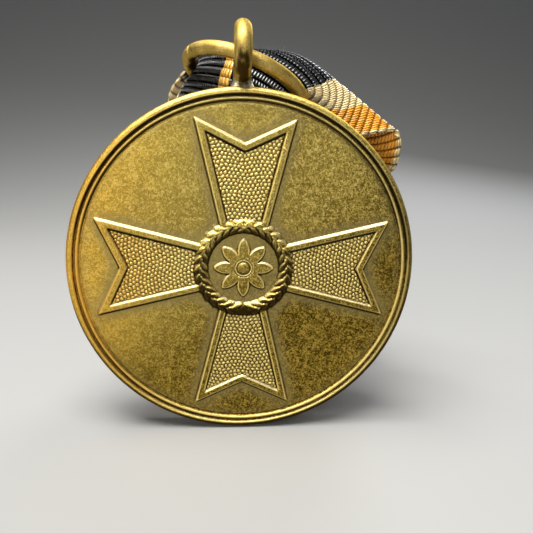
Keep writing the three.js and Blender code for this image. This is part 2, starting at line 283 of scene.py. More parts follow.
def wire_material():
    """Drawn bronze wire, a little polished by wear, with dark stains where it is never rubbed, and painted
    shade on the inner side of the ring's left half.
    """
    m = Material("worn_wire")
    where = m.position()
    wire = m.attribute("wire").outputs["Vector"]
    stain_and_shade = m.attribute("stain_and_shade").outputs["Fac"]
    cloud = m.noise(where, 1.5, detail=4.0, roughness=0.6)
    grain = m.noise(where, 0.16, detail=3.0, roughness=0.65)
    drawn = m.noise(m.stretch(wire, (0.22, 2.6, 1.0)), 0.5, detail=4.0, roughness=0.65)
    worn = m.mix(m.ramp(cloud, 0.34, 0.66), (0.54, 0.385, 0.10), (0.78, 0.58, 0.19))
    streaked = m.mix(m.ramp(drawn, 0.60, 0.40, 0.0, 0.35), worn, (0.30, 0.205, 0.045))
    speckled = m.mix(m.ramp(grain, 0.52, 0.36, 0.0, 0.4), streaked, (0.24, 0.165, 0.036))
    blot = m.noise(m.stretch(where, (1.6, 1.0, 0.55)), 0.8, detail=3.0, roughness=0.6)
    patchy = m.math("ADD", stain_and_shade, m.math("MULTIPLY", m.math("SUBTRACT", blot, 0.5), 2.2))
    colour = m.mix(m.ramp(patchy, 0.12, 0.95, 0.0, 0.97), speckled, (0.040, 0.020, 0.003))
    rough = m.ramp(m.math("ADD", drawn, m.math("MULTIPLY", stain_and_shade, 0.3)), 0.3, 0.9, 0.54, 0.66)
    normal = m.bump(drawn, 0.03, 0.6)
    normal = m.bump(grain, 0.03, 0.8, normal)
    return m.finish(
        Base_Color=colour,
        Metallic=1.0,
        Roughness=rough,
        Normal=normal,
        Specular_Tint=(0.80, 0.66, 0.36),
    )


def braze_material():
    """Silvery braze, lumpy where it froze, stained dark next to the wire."""
    m = Material("braze")
    where = m.position()
    lump = m.noise(where, 0.55, detail=3.0, roughness=0.6)
    grain = m.noise(where, 0.12, detail=2.0)
    colour = m.mix(m.ramp(lump, 0.36, 0.62), (0.16, 0.12, 0.055), (0.66, 0.60, 0.42))
    rough = m.ramp(lump, 0.3, 0.7, 0.5, 0.3)
    normal = m.bump(lump, 0.12, 0.6)
    normal = m.bump(grain, 0.015, 0.5, normal)
    return m.finish(Base_Color=colour, Metallic=0.88, Roughness=rough, Normal=normal)


STRIPE_EDGES = {"centre": 0.6, "dark": 6.8, "cream": 11.0, "orange": 14.5}
RIB_PITCH = 0.90
THREAD_PITCH = 0.30


def ribbon_material():
    """Warp-faced grosgrain: threads that run along the ribbon and cross over each rib in turn.

    The attribute cloth holds the place across (mm), the place along (mm) and the number of the rib.
    """
    m = Material("ribbon_cloth")
    cloth = m.node("ShaderNodeSeparateXYZ", {0: m.attribute("cloth").outputs["Vector"]})
    across, along, rib = cloth.outputs
    wobble = m.noise(m.attribute("cloth").outputs["Vector"], 0.5, detail=2.0)
    row = m.math("FLOOR", rib)
    offset = m.math("MULTIPLY", m.math("MODULO", m.math("ADD", row, 1000.0), 2.0), 0.5)
    thread = m.math("ADD", m.math("DIVIDE", across, THREAD_PITCH), offset)
    phase = m.math("FRACT", m.math("ADD", thread, 1000.0))
    bead = m.math("SINE", m.math("MULTIPLY", phase, math.pi))
    ridge = m.math("SINE", m.math("MULTIPLY", m.math("FRACT", m.math("ADD", rib, 1000.0)), math.pi))
    stray = m.math("MULTIPLY", m.math("SUBTRACT", wobble, 0.5), 0.5)
    distance = m.math("ABSOLUTE", m.math("ADD", across, stray))
    black = (0.0016, 0.0018, 0.0024)
    orange = (0.94, 0.38, 0.018)
    cream = (0.88, 0.69, 0.34)
    colour = (0.90, 0.50, 0.085)
    for edge, outside in (("centre", black), ("dark", cream), ("cream", orange), ("orange", cream)):
        place_across = STRIPE_EDGES[edge]
        colour = m.mix(m.ramp(distance, place_across - 0.04, place_across + 0.04), colour, outside)
    tone = m.node("ShaderNodeTexWhiteNoise", noise_dimensions="2D")
    cell = m.node("ShaderNodeCombineXYZ", {0: m.math("FLOOR", thread), 1: row})
    m.links.new(cell.outputs[0], tone.inputs["Vector"])
    shade = m.math("MULTIPLY_ADD", tone.outputs["Value"], 0.35)
    shade.node.inputs[2].default_value = 0.80
    # Rib valleys and the gaps between threads are darkened in the colour as painted shade; the random tone
    # of each thread is the cloth's own.
    depth = m.math("MULTIPLY", m.ramp(ridge, 0.0, 0.80, 0.30, 1.0), m.ramp(bead, 0.0, 0.7, 0.72, 1.0))
    shaded = m.node("ShaderNodeMix", data_type="RGBA", blend_type="MULTIPLY")
    m.set(shaded.inputs["Factor"], 1.0)
    m.set(shaded.inputs["A"], colour)
    m.links.new(m.math("MULTIPLY", shade, depth), shaded.inputs["B"])
    fibre = m.noise(m.stretch(m.attribute("cloth").outputs["Vector"], (9.0, 1.2, 0.0)), 1.0, detail=3.0)
    normal = m.bump(bead, 0.10, 1.0)
    normal = m.bump(fibre, 0.02, 0.6, normal)
    return m.finish(
        Base_Color=shaded.outputs["Result"],
        Roughness=m.ramp(depth, 0.45, 1.0, 0.7, 0.26),
        Normal=normal,
        Specular_IOR_Level=m.ramp(depth, 0.45, 1.0, 0.0, 1.0),
    )


# ---------------------------------------------------------------- the disc's relief

disc_low, disc_high = box_mm("struck_disc")
DISC_RADIUS = (disc_high[0] - disc_low[0]) / 2
DISC_CENTRE_Z = (disc_low[2] + disc_high[2]) / 2
FIELD = 0.85  # height of the flat field above mid-thickness
FIELD_END = 14.86  # radius where the flat field meets the first groove of the rim
RIM_SEGMENTS = 576

# Section of one side of the rim, as radius and height above mid-thickness: a groove, a thin bead,
# a deeper groove, and the rim's own broad bead that rounds over to the edge.
RIM_SECTION = [
    (FIELD_END, FIELD),
    (14.91, 0.80),
    (14.97, 0.765),
    (15.03, 0.79),
    (15.07, 0.90),
    (15.11, 0.99),
    (15.18, 1.025),
    (15.26, 1.027),
    (15.33, 1.01),
    (15.38, 0.96),
    (15.42, 0.87),
    (15.46, 0.79),
    (15.53, 0.78),
    (15.56, 0.90),
    (15.585, 1.07),
    (15.615, 1.155),
    (15.66, 1.19),
    (15.74, 1.195),
    (15.84, 1.185),
    (15.93, 1.16),
    (16.01, 1.11),
    (16.08, 1.035),
    (16.14, 0.94),
    (16.19, 0.825),
    (16.23, 0.70),
    (16.25, 0.58),
    (16.25, 0.3),
]


def rim_height(x, y):
    """Height of a face with nothing on its field."""
    return np.interp(np.hypot(x, y), *np.array(RIM_SECTION).T)


CROSS = {"tip_radius": 14.36, "tip_angle": 18.74, "notch_radius": 11.42, "root": 3.7, "root_half": 2.18}
# Height above the field against the distance inwards from an arm's outline.
BORDER_SECTION = [
    (0.0, 0.0),
    (0.05, 0.17),
    (0.09, 0.26),
    (0.14, 0.295),
    (0.24, 0.305),
    (0.50, 0.305),
    (0.61, 0.29),
    (0.66, 0.24),
    (0.71, 0.12),
    (0.76, 0.04),
]
BORDER_WIDTH = BORDER_SECTION[-1][0]
PEBBLE_HEIGHT = 0.15
PEBBLE_ROW = 0.335
PEBBLE_STEP = 0.40

WREATH = {"radius": 3.98, "half_width": 0.62, "height": 0.33}
WREATH_INNER, WREATH_OUTER = 3.25, 4.68
ROSETTE_REACH = 3.0


def arm_lines():
    """The lines of the upper arm's outline, each as a point and the unit vector that points inwards."""
    half = math.radians(CROSS["tip_angle"])
    tip = np.array([math.sin(half), math.cos(half)]) * CROSS["tip_radius"]
    root = np.array([CROSS["root_half"], CROSS["root"]])
    notch = np.array([0.0, CROSS["notch_radius"]])

    def line(start, end):
        along = unit(end - start)
        return start, np.array([-along[1], along[0]])

    mirror = np.array([-1, 1])
    return {
        "right": line(root, tip),
        "left": line(tip * mirror, root * mirror),
        "notch_right": line(tip, notch),
        "notch_left": line(notch, tip * mirror),
    }


ARM_LINES = arm_lines()


def arm_coordinates(x, y):
    """The nearest arm's number, and the place on it as if it were the upper arm."""
    arm = np.round(np.arctan2(x, y) / (math.pi / 2)).astype(int) % 4
    turn = arm * math.pi / 2
    return arm, x * np.cos(turn) - y * np.sin(turn), x * np.sin(turn) + y * np.cos(turn)


def cross_distance(x, y):
    """Distance inside an arm's outline, with mitred corners; it is negative outside the cross."""
    _, ax, ay = arm_coordinates(x, y)
    inside = {
        key: (ax - start[0]) * inward[0] + (ay - start[1]) * inward[1]
        for key, (start, inward) in ARM_LINES.items()
    }
    end = np.maximum(inside["notch_right"], inside["notch_left"])
    return np.minimum(np.minimum(inside["right"], inside["left"]), end)


def pebble_centres():
    """For each arm, the centres of the pebbles struck into its panel, in wavering rows."""
    arms = []
    for _ in range(4):
        rows = np.arange(3.0, 14.2, PEBBLE_ROW)
        columns = np.arange(-5.2, 5.2, PEBBLE_STEP)
        x = columns[None, :] + (np.arange(len(rows))[:, None] % 2) * PEBBLE_STEP / 2
        y = np.broadcast_to(rows[:, None], x.shape).copy()
        y += 0.10 * np.sin(x * 1.9 + random.uniform(0, 6) + 0.35 * y)
        x = x + 0.07 * np.sin(y * 2.3 + random.uniform(0, 6))
        x = x + random.uniform(-0.09, 0.09, x.shape)
        y = y + random.uniform(-0.05, 0.05, y.shape)
        arms.append(np.stack([x.ravel(), y.ravel()], 1))
    return arms


PEBBLES = pebble_centres()


def two_nearest(points, centres):
    """Distances from each point to its nearest and its second nearest centre."""
    block = 2000  # points at a time, to spare memory
    found = np.empty((len(points), 2))
    for start in range(0, len(points), block):
        part = points[start : start + block]
        away = ((part[:, None, :] - centres[None]) ** 2).sum(2)
        found[start : start + block] = np.sqrt(np.partition(away, 1, axis=1)[:, :2])
    return found


def pebble_height(x, y):
    """Height of the pebbled ground above the sunken panel's base."""
    arm, ax, ay = arm_coordinates(x, y)
    height = np.zeros_like(x)
    for number, centres in enumerate(PEBBLES):
        mine = arm == number
        if mine.any():
            nearest = two_nearest(np.stack([ax[mine], ay[mine]], 1), centres)
            gap = np.clip((nearest[:, 1] - nearest[:, 0]) / 0.24, 0, 1)
            height[mine] = PEBBLE_HEIGHT * (1 - (1 - gap) ** 2.0)
    return height


def leaf_height(x, y, cx, cy, direction, length, width, tilt=0.0):
    """A pointed leaf with a midrib: 0 at its outline, 1 along its crown; tilt lifts its tip."""
    dx, dy = x - cx, y - cy
    along = (dx * direction[0] + dy * direction[1]) / length
    aside = (dy * direction[0] - dx * direction[1]) / width
    spread = np.clip(1 - along**2, 0, 1) ** 0.8
    inside = np.clip(1 - (aside / np.maximum(spread, 1e-6)) ** 2, 0, 1)
    body = np.where(np.abs(along) < 1, np.sqrt(inside) * np.minimum(1, 3.0 * spread), 0)
    rib = 0.22 * np.exp(-((aside / 0.13) ** 2))
    return body * (1 + tilt * along) - rib * (body > 0.3)


def wreath_height(x, y):
    """Height of the wreath above the field: two branches of overlapping leaves that rise to the top."""
    r = np.hypot(x, y)
    profile = np.clip(1 - ((r - WREATH["radius"]) / WREATH["half_width"]) ** 2, 0, 1)
    height = WREATH["height"] * profile**0.45
    per_side = 15
    for side in (-1, 1):
        for i in range(per_side):
            for row, lean in ((-1, -0.55), (1, 0.55), (0, 0.0)):
                angle = math.pi - side * (0.12 + math.pi * (i + 0.5 + 0.33 * row) / per_side)
                radius = WREATH["radius"] + 0.34 * row
                cx, cy = radius * math.sin(angle), radius * math.cos(angle)
                heading = angle - side * (math.pi / 2 + lean)
                direction = (math.sin(heading), math.cos(heading))
                near = np.hypot(x - cx, y - cy) < 0.75
                if near.any():
                    leaf = leaf_height(x[near], y[near], cx, cy, direction, 0.55, 0.25, 0.35)
                    base = WREATH["height"] * profile[near] ** 0.45 * 0.75
                    height[near] = np.maximum(height[near], base + 0.22 * leaf * (leaf > 0))
    return height


def rosette_height(x, y):
    """Height of the eight-petalled rosette above the field."""
    height = np.zeros_like(x)
    for i in range(8):
        angle = 2 * math.pi * i / 8
        direction = (math.sin(angle), math.cos(angle))
        petal = leaf_height(x, y, 1.62 * direction[0], 1.62 * direction[1], direction, 1.16, 0.56)
        rim = np.minimum(1, 3.2 * np.clip(petal, 0, 1))
        height = np.maximum(height, 0.21 * rim - 0.06 * np.clip(petal - 0.55, 0, 1))
    r = np.hypot(x, y)
    boss = 0.30 * np.sqrt(np.clip(1 - (r / 0.62) ** 2, 0, 1))
    collar = 0.20 * np.clip(1 - np.abs(r - 0.74) / 0.13, 0, 1) ** 0.5
    return np.where(r < 0.87, np.maximum(boss, collar), height)


# A bright burr across the right-hand border of the upper arm: its middle, half length and height.
BURR = {"middle": (3.55, 10.98), "half_length": 0.34, "half_width": 0.085, "height": 0.09}


def burr_height(x, y):
    """Height that the burr adds to the border it crosses."""
    along = unit([1.0, -0.75])
    dx, dy = x - BURR["middle"][0], y - BURR["middle"][1]
    forward = (dx * along[0] + dy * along[1]) / BURR["half_length"]
    aside = (dy * along[0] - dx * along[1]) / BURR["half_width"]
    return BURR["height"] * np.clip(1 - forward**2 - aside**2, 0, 1) ** 0.5


def obverse_height(x, y):
    """Height of the front face above mid-thickness."""
    r = np.hypot(x, y)
    height = rim_height(x, y)
    inside = cross_distance(x, y)
    arms = (r > WREATH["radius"]) & (inside > 0)
    relief = np.interp(inside, *np.array(BORDER_SECTION).T)
    panel = arms & (inside > BORDER_WIDTH)
    relief[panel] += pebble_height(x[panel], y[panel]) * smoothstep(0, 0.12, inside[panel] - BORDER_WIDTH)
    height = np.where(arms, FIELD + relief, height) + burr_height(x, y)
    leafy = (r > WREATH_INNER) & (r < WREATH_OUTER)
    height[leafy] = np.maximum(height[leafy], FIELD + wreath_height(x[leafy], y[leafy]))
    middle = r < ROSETTE_REACH
    height[middle] = FIELD + rosette_height(x[middle], y[middle])
    return height


def laurel_leaves():
    """The leaves of the two sprays on the reverse, each as its centre, direction, length and width."""
    leaves = []
    for side in (-1, 1):
        for i in range(9):
            angle = math.pi - side * (0.2 + i * 2.25 / 8)
            for row in (-1, 1):
                radius = 11.2 + row * 0.85
                lean = angle - side * (math.pi / 2 + row * 0.45) + (math.pi if side > 0 else 0)
                centre = (radius * math.sin(angle), radius * math.cos(angle))
                leaves.append((centre, (math.sin(lean), math.cos(lean)), 1.5, 0.55))
    return leaves


def reverse_height(x, y):
    """Height of the back face above mid-thickness."""
    r = np.hypot(x, y)
    height = rim_height(x, y)
    for (cx, cy), direction, length, width in laurel_leaves():
        near = np.hypot(x - cx, y - cy) < length + 0.1
        if near.any():
            leaf = leaf_height(x[near], y[near], cx, cy, direction, length, width)
            height[near] = np.maximum(height[near], FIELD + 0.21 * leaf)
    stem = (np.abs(r - 11.2) < 0.14) & (np.arctan2(np.abs(x), -y) < 2.55)
    height[stem] = np.maximum(height[stem], FIELD + 0.11)
    return height


# ---------------------------------------------------------------- the disc's mesh


PLAN_REACH = 15.0  # half width of a grid that covers the whole field


def hex_grid(spacing, reach):
    """Points of a triangular grid that covers a square of that half width."""
    rows = np.arange(-reach, reach, spacing * math.sqrt(0.75))
    columns = np.arange(-reach, reach, spacing)
    x = columns[None, :] + (np.arange(len(rows))[:, None] % 2) * spacing / 2
    y = np.broadcast_to(rows[:, None], x.shape)
    return x.ravel(), y.ravel()


def circle(radius, count, turn=0.0):
    angle = 2 * math.pi * (np.arange(count) + turn) / count
    return np.stack([radius * np.cos(angle), radius * np.sin(angle)], 1)


def arm_outline(inset):
    """The corners of the upper arm's outline, moved inwards by a distance."""

    def meeting(first, second):
        rows = [ARM_LINES[first], ARM_LINES[second]]
        normals = np.array([inward for _, inward in rows])
        return np.linalg.solve(normals, [start @ inward + inset for start, inward in rows])

    def at_root(side):
        start, inward = ARM_LINES[side]
        root_y = CROSS["root"]
        return np.array([start[0] + (inset - (root_y - start[1]) * inward[1]) / inward[0], root_y])

    return [
        at_root("left"),
        meeting("left", "notch_left"),
        meeting("notch_left", "notch_right"),
        meeting("notch_right", "right"),
        at_root("right"),
    ]


def divided(corners, spacing):
    """Points along a line of corners, about spacing apart."""
    points = [corners[0]]
    for start, end in zip(corners, corners[1:]):
        count = max(1, round(np.linalg.norm(end - start) / spacing))
        points += [start + (end - start) * k / count for k in range(1, count + 1)]
    return np.array(points)


class Plan:
    """Points and lines of one face of the disc, for one triangulation that keeps the lines as edges."""

    def __init__(self):
        self.blocks = [circle(FIELD_END, RIM_SEGMENTS)]
        self.edges = [(i, (i + 1) % RIM_SEGMENTS) for i in range(RIM_SEGMENTS)]
        self.count = RIM_SEGMENTS

    def scatter(self, x, y, keep):
        self.blocks.append(np.stack([x[keep], y[keep]], 1))
        self.count += int(keep.sum())

    def line(self, points, closed=False):
        last = len(points) if closed else len(points) - 1
        self.edges += [(self.count + i, self.count + (i + 1) % len(points)) for i in range(last)]
        self.blocks.append(points)
        self.count += len(points)

    def triangulate(self):
        """The plan's points, its triangles, and where each point of the outer circle ended up."""
        points = [Vector(p) for p in np.concatenate(self.blocks).tolist()]
        verts, _, faces, origins, _, _ = delaunay_2d_cdt(points, self.edges, [], 0, 1e-6)
        boundary = [0] * RIM_SEGMENTS
        for index, origin in enumerate(origins):
            for i in origin:
                if i < RIM_SEGMENTS:
                    boundary[i] = index
        return np.array([tuple(v) for v in verts]), faces, boundary


def obverse_plan():
    """The front's plan: the arms' outlines, the pebbled panels, the burr, the field, wreath and rosette."""
    plan = Plan()
    for quarter in range(4):
        turn = quarter * math.pi / 2
        rotate = np.array([[math.cos(turn), -math.sin(turn)], [math.sin(turn), math.cos(turn)]])
        for inset in [-0.20, -0.11, -0.05] + [inset for inset, _ in BORDER_SECTION]:
            plan.line(divided(arm_outline(inset), 0.26) @ rotate.T)
    x, y = hex_grid(0.086, PLAN_REACH)
    inside, r = cross_distance(x, y), np.hypot(x, y)
    plan.scatter(x, y, (inside > BORDER_WIDTH + 0.03) & (r > WREATH_OUTER) & (r < FIELD_END))
    x, y = hex_grid(0.05, 1.0)
    x, y = x + BURR["middle"][0], y + BURR["middle"][1]
    inside = cross_distance(x, y)
    plan.scatter(x, y, (inside > 0.2) & (inside < 0.55))
    x, y = hex_grid(0.36, PLAN_REACH)
    inside, r = cross_distance(x, y), np.hypot(x, y)
    plan.scatter(x, y, (inside < -0.32) & (r > WREATH_OUTER + 0.1) & (r < FIELD_END - 0.15))
    for i, radius in enumerate(np.arange(WREATH_INNER - 0.05, WREATH_OUTER + 0.02, 0.062)):
        plan.line(circle(radius, 400, 0.5 * (i % 2)), closed=True)
    x, y = hex_grid(0.075, 3.1)
    plan.scatter(x, y, np.hypot(x, y) < WREATH_INNER - 0.1)
    return plan


def reverse_plan():
    """The back's plan: fine where the laurel is, coarse elsewhere."""
    plan = Plan()
    x, y = hex_grid(0.15, PLAN_REACH)
    r = np.hypot(x, y)
    plan.scatter(x, y, (r > 9.0) & (r < 13.6))
    x, y = hex_grid(0.5, PLAN_REACH)
    r = np.hypot(x, y)
    plan.scatter(x, y, (r < 8.9) | ((r > 13.7) & (r < FIELD_END - 0.2)))
    return plan


RASTER_STEP = 0.055
RASTER_HALF = 310


def relief_map(height_of):
    """Sharp hollows, edges, broad hollows and the slope that faces down, on a raster of a face."""
    line = (np.arange(2 * RASTER_HALF) - RASTER_HALF) * RASTER_STEP
    x, y = np.meshgrid(line, line)
    height = height_of(x.ravel(), y.ravel()).reshape(x.shape)
    height = np.where(np.hypot(x, y) < DISC_RADIUS, height, 0.5)
    frequency = np.fft.fftfreq(len(line), RASTER_STEP)
    square = frequency[:, None] ** 2 + frequency[None, :] ** 2
    spectrum = np.fft.fft2(height)

    def blurred(radius):
        return np.fft.ifft2(spectrum * np.exp(-2 * (math.pi * radius) ** 2 * square)).real

    near, far, crisp = blurred(0.12), blurred(0.75), blurred(0.05)
    hollow = np.maximum(near - height, 0)
    edge = np.maximum(height - blurred(0.08), 0)
    halo = np.maximum(far - height, 0)
    # Hollows on slopes that face up are kept light, as painted light from above; elsewhere the dark of
    # hollows is patina.
    hollow *= 1 - 0.85 * smoothstep(0.05, 0.45, -np.gradient(near, RASTER_STEP, axis=0))
    # The slope that faces down: it sets painted shade on down-facing slopes and a painted highlight on
    # up-facing ones.
    painted_light_slope = np.gradient(crisp, RASTER_STEP, axis=0)
    return np.stack([hollow, edge, halo, painted_light_slope], -1)


def read_map(raster, x, y):
    """The raster's values at points of the disc's plan, mixed from the four nearest."""
    u = np.clip(x / RASTER_STEP + RASTER_HALF, 0, 2 * RASTER_HALF - 1.001)
    v = np.clip(y / RASTER_STEP + RASTER_HALF, 0, 2 * RASTER_HALF - 1.001)
    i, j = v.astype(int), u.astype(int)
    fi, fj = (v - i)[:, None], (u - j)[:, None]
    top = raster[i, j] * (1 - fj) + raster[i, j + 1] * fj
    bottom = raster[i + 1, j] * (1 - fj) + raster[i + 1, j + 1] * fj
    return top * (1 - fi) + bottom * fi


def worn_rim(radius, height, angle, path):
    """The rim's points moved by slight unevenness and by the small dents of years of wear."""
    outer = smoothstep(15.5, 15.8, radius)
    dent = outer * ripple(angle, (3, 5, 9, 17, 31, 47), 0.012)
    for _ in range(90):
        centre, place_on_path = random.uniform(0, 2 * math.pi), random.uniform(0.9, 2.4)
        width, depth = random.uniform(0.05, 0.20), random.uniform(0.01, 0.045)
        away = (np.angle(np.exp(1j * (angle - centre))) * DISC_RADIUS / width) ** 2
        dent = dent + depth * np.exp(-away - ((path - place_on_path) / 0.16) ** 2)
    return radius - 0.7 * dent, height - np.sign(height) * 0.7 * dent


def wreath_darkening(x, y):
    """Darkening over the front's wreath, strongest on its lower half, to add to the slope that faces down:
    it dims the painted highlight on the wreath and adds to its painted shade.
    """
    r, angle = np.hypot(x, y), np.arctan2(x, -y)
    band = smoothstep(WREATH_INNER - 0.1, WREATH_INNER + 0.2, r)
    band = band * smoothstep(WREATH_OUTER + 0.1, WREATH_OUTER - 0.2, r)
    lower = smoothstep(2.2, 1.2, np.abs(angle))
    return band * (0.40 + 0.35 * lower + 0.25 * ripple(angle, (7, 13, 22), 1.0))


def struck_disc():
    """The whole disc as one closed mesh: two triangulated faces joined by the turned rim."""
    points, faces, relief, boundaries = [], [], [], []
    sides = ((obverse_plan(), obverse_height, -1), (reverse_plan(), reverse_height, 1))
    for plan, height_of, facing in sides:
        plane, triangles, boundary = plan.triangulate()
        height = height_of(plane[:, 0], plane[:, 1])
        first = sum(len(p) for p in points)
        points.append(np.stack([plane[:, 0], facing * height, DISC_CENTRE_Z + plane[:, 1]], 1))
        relief.append(read_map(relief_map(height_of), plane[:, 0], plane[:, 1]))
        if facing < 0:
            relief[0][:, 3] += wreath_darkening(plane[:, 0], plane[:, 1])
        boundaries.append([first + i for i in boundary])
        faces += [[first + i for i in (t if facing < 0 else t[::-1])] for t in triangles]

    front = RIM_SECTION[1:]
    section = np.array(front + [(r, -h) for r, h in reversed(front)])
    path = np.concatenate([[0], np.cumsum(np.hypot(*np.diff(section, axis=0).T))])
    from_each_end = np.minimum(path, path[-1] - path)
    angle = 2 * math.pi * np.arange(RIM_SEGMENTS) / RIM_SEGMENTS
    radius = np.broadcast_to(section[:, :1], (len(section), RIM_SEGMENTS))
    height = np.broadcast_to(section[:, 1:], radius.shape)
    radius, height = worn_rim(radius, height, angle[None, :], from_each_end[:, None])
    x, y = radius * np.cos(angle), radius * np.sin(angle)
    first = sum(len(p) for p in points)
    points.append(np.stack([x.ravel(), -height.ravel(), DISC_CENTRE_Z + y.ravel()], 1))
    rim_map = read_map(relief_map(rim_height), x.ravel(), y.ravel())
    wall = np.broadcast_to(np.abs(section[:, 1:]) < 0.9, radius.shape).ravel()
    rim_map = np.where(wall[:, None], 0.0, rim_map)
    tangent = unit(np.gradient(section, axis=0))
    facing_down = (tangent[:, 1:] * np.sin(angle)).ravel()
    # Rim slopes that face down are darkened strongly as painted shade, and the broad bead's lower right is
    # darkened as painted shade as well.
    lower_right_shade = smoothstep(0.0, 0.8, np.cos(angle + 0.6)) * smoothstep(15.45, 15.65, radius)
    rim_map[:, 3] = np.where(facing_down > 0, 3.0, 0.15) * facing_down + 0.5 * lower_right_shade.ravel()
    relief.append(rim_map)
    faces += grid_faces(len(section), RIM_SEGMENTS, first, wrap_columns=True, flip=True)
    last = first + (len(section) - 1) * RIM_SEGMENTS
    for i in range(RIM_SEGMENTS):
        j = (i + 1) % RIM_SEGMENTS
        faces.append([boundaries[0][j], boundaries[0][i], first + i, first + j])
        faces.append([boundaries[1][i], boundaries[1][j], last + j, last + i])
    relief = np.concatenate(relief)
    return np.concatenate(points), faces, {"relief": relief[:, :3], "painted_light_slope": relief[:, 3]}


# ---------------------------------------------------------------- wire parts

# The ring's own axes: right in its plane, back from the eyelet towards the far arc, and its normal.
EYELET_CONTACT = np.array([0, 0.28, 35.2])  # where the ring's wire passes through the eyelet
RING_CENTRE = np.array(joint("ring_turn")["pos_m"]) / MM
RING_NORMAL = unit(joint("ring_turn")["axis"])
RING_BACK = RING_CENTRE - EYELET_CONTACT
RING_BACK = unit(RING_BACK - RING_NORMAL * (RING_BACK @ RING_NORMAL))
RING_RIGHT = np.cross(RING_BACK, RING_NORMAL)
RING_RADIUS = 5.9  # of the wire's centre line
RING_WIRE_RADIUS = 0.65


def ring_gap(points):
    """How far points are from the surface of the ring's wire."""
    from_centre = points - RING_CENTRE
    above = from_centre @ RING_NORMAL
    outwards = np.linalg.norm(from_centre - above[:, None] * RING_NORMAL, axis=1) - RING_RADIUS
    return np.hypot(above, outwards) - RING_WIRE_RADIUS


def tube(centres, side_a, side_b, radius, around, closed):
    """A wire round a line of centres: points, quads and, for each point, its place along and around."""
    turn = 2 * math.pi * np.arange(around) / around
    ring_x, ring_y = np.cos(turn), np.sin(turn)
    offsets = side_a[:, None, :] * ring_x[None, :, None] + side_b[:, None, :] * ring_y[None, :, None]
    points = centres[:, None, :] + offsets * np.asarray(radius).reshape(-1, 1, 1)
    steps = np.linalg.norm(np.diff(centres, axis=0), axis=1)
    along = np.concatenate([[0], np.cumsum(steps)])
    wire = np.stack(np.broadcast_arrays(along[:, None], turn[None, :], 0.0 * along[:, None]), -1)
    faces = grid_faces(len(centres), around, wrap_rows=closed, wrap_columns=True)
    if not closed:
        last = (len(centres) - 1) * around
        faces.append(list(range(around))[::-1])
        faces.append(list(range(last, last + around)))
    return points.reshape(-1, 3), faces, wire.reshape(-1, 3)


def suspension_ring(material):
    """A ring of round wire whose two cut ends meet at a narrow seam, darkened on its left inside as painted
    shade.
    """
    around = 28
    seam, half_gap = math.radians(208), 0.045 / RING_RADIUS
    steps = np.linspace(0, 1, 240)
    angle = seam + half_gap + steps * (2 * math.pi - 2 * half_gap)
    bend = RING_RADIUS + ripple(angle, (2, 3, 5), 0.004)
    outward = np.cos(angle)[:, None] * RING_RIGHT + np.sin(angle)[:, None] * RING_BACK
    centres = RING_CENTRE + outward * bend[:, None]
    chamfer = 1 - 0.10 * np.exp(-np.minimum(steps, 1 - steps) * 2 * math.pi * RING_RADIUS / 0.05)
    upward = np.broadcast_to(RING_NORMAL, centres.shape)
    points, faces, wire = tube(centres, outward, upward, RING_WIRE_RADIUS * chamfer, around, closed=False)
    inner = np.cos(wire[:, 1])
    place_round = np.repeat(angle, around)
    left = np.cos(place_round - math.radians(185))
    # Painted shade: the inner side of the ring's left half is darkened.
    stain_and_shade = smoothstep(0.2, -0.7, inner) * smoothstep(0.2, 0.9, left)
    return mesh_object("suspension_ring_wire", points, faces, material, {"wire": wire, "stain_and_shade": stain_and_shade})


def eyelet_loop(material):
    """The closed loop that stands on the rim, its hole running from left to right."""
    low, high = box_mm("eyelet_loop")
    centre = (low + high) / 2
    wire_radius = (high[0] - low[0]) / 2
    radius = (high[2] - low[2]) / 2 - wire_radius
    angle = np.linspace(0, 2 * math.pi, 160, endpoint=False)
    outward = np.stack([0 * angle, np.cos(angle), np.sin(angle)], 1)
    centres = centre + outward * (radius + ripple(angle, (2, 3), 0.015))[:, None]
    sideways = np.broadcast_to([1.0, 0.0, 0.0], centres.shape)
    thickness = wire_radius * (1 + ripple(angle, (2, 3, 5), 0.012))
    points, faces, wire = tube(centres, sideways, outward, thickness, 36, closed=True)
    front = smoothstep(0.4, -0.6, (points[:, 1] - centre[1]) / radius)
    low_down = smoothstep(0.7, -1.5, points[:, 2] - centre[2])
    along_middle = smoothstep(0.95, 0.35, np.abs(points[:, 0] - centre[0]) / wire_radius)
    stain_and_shade = front * low_down * (0.35 + 0.65 * along_middle)
    return mesh_object("eyelet_wire", points, faces, material, {"wire": wire, "stain_and_shade": stain_and_shade})


def eyelet_braze(material):
    """The flared fillet of braze at the loop's foot, following the round of the rim."""
    low, high = box_mm("eyelet_braze")
    middle = (high[0] + low[0]) / 2
    half_width = (high[0] - low[0]) / 2
    half_depth = (high[1] - low[1]) / 2
    rows, around = 20, 96
    rise = np.linspace(0, 1, rows)
    turn = np.linspace(0, 2 * math.pi, around, endpoint=False)
    neck = 0.72  # its width at the top, as a share of its width at the foot
    flare = neck + (1 - neck) * (1 - rise) ** 2.3
    lump = 1 + 0.05 * ripple(turn, (2, 3, 5, 7), 1.0)
    x = middle + half_width * flare[:, None] * lump * np.cos(turn)
    y = half_depth * flare[:, None] * lump * np.sin(turn)
    foot = np.sqrt(DISC_RADIUS**2 - x[:1] ** 2) + DISC_CENTRE_Z - 0.05
    top = high[2] + 0.05
    z = foot + (top - foot) * rise[:, None]
    points = np.stack([x, y, z], -1).reshape(-1, 3)
    faces = grid_faces(rows, around, wrap_columns=True)
    faces.append(list(range(around))[::-1])
    faces.append(list(range((rows - 1) * around, rows * around)))
    return mesh_object("eyelet_fillet", points, faces, material)


# ---------------------------------------------------------------- the ribbon


def at(x, y, z):
    return np.array([x, y, z], float)


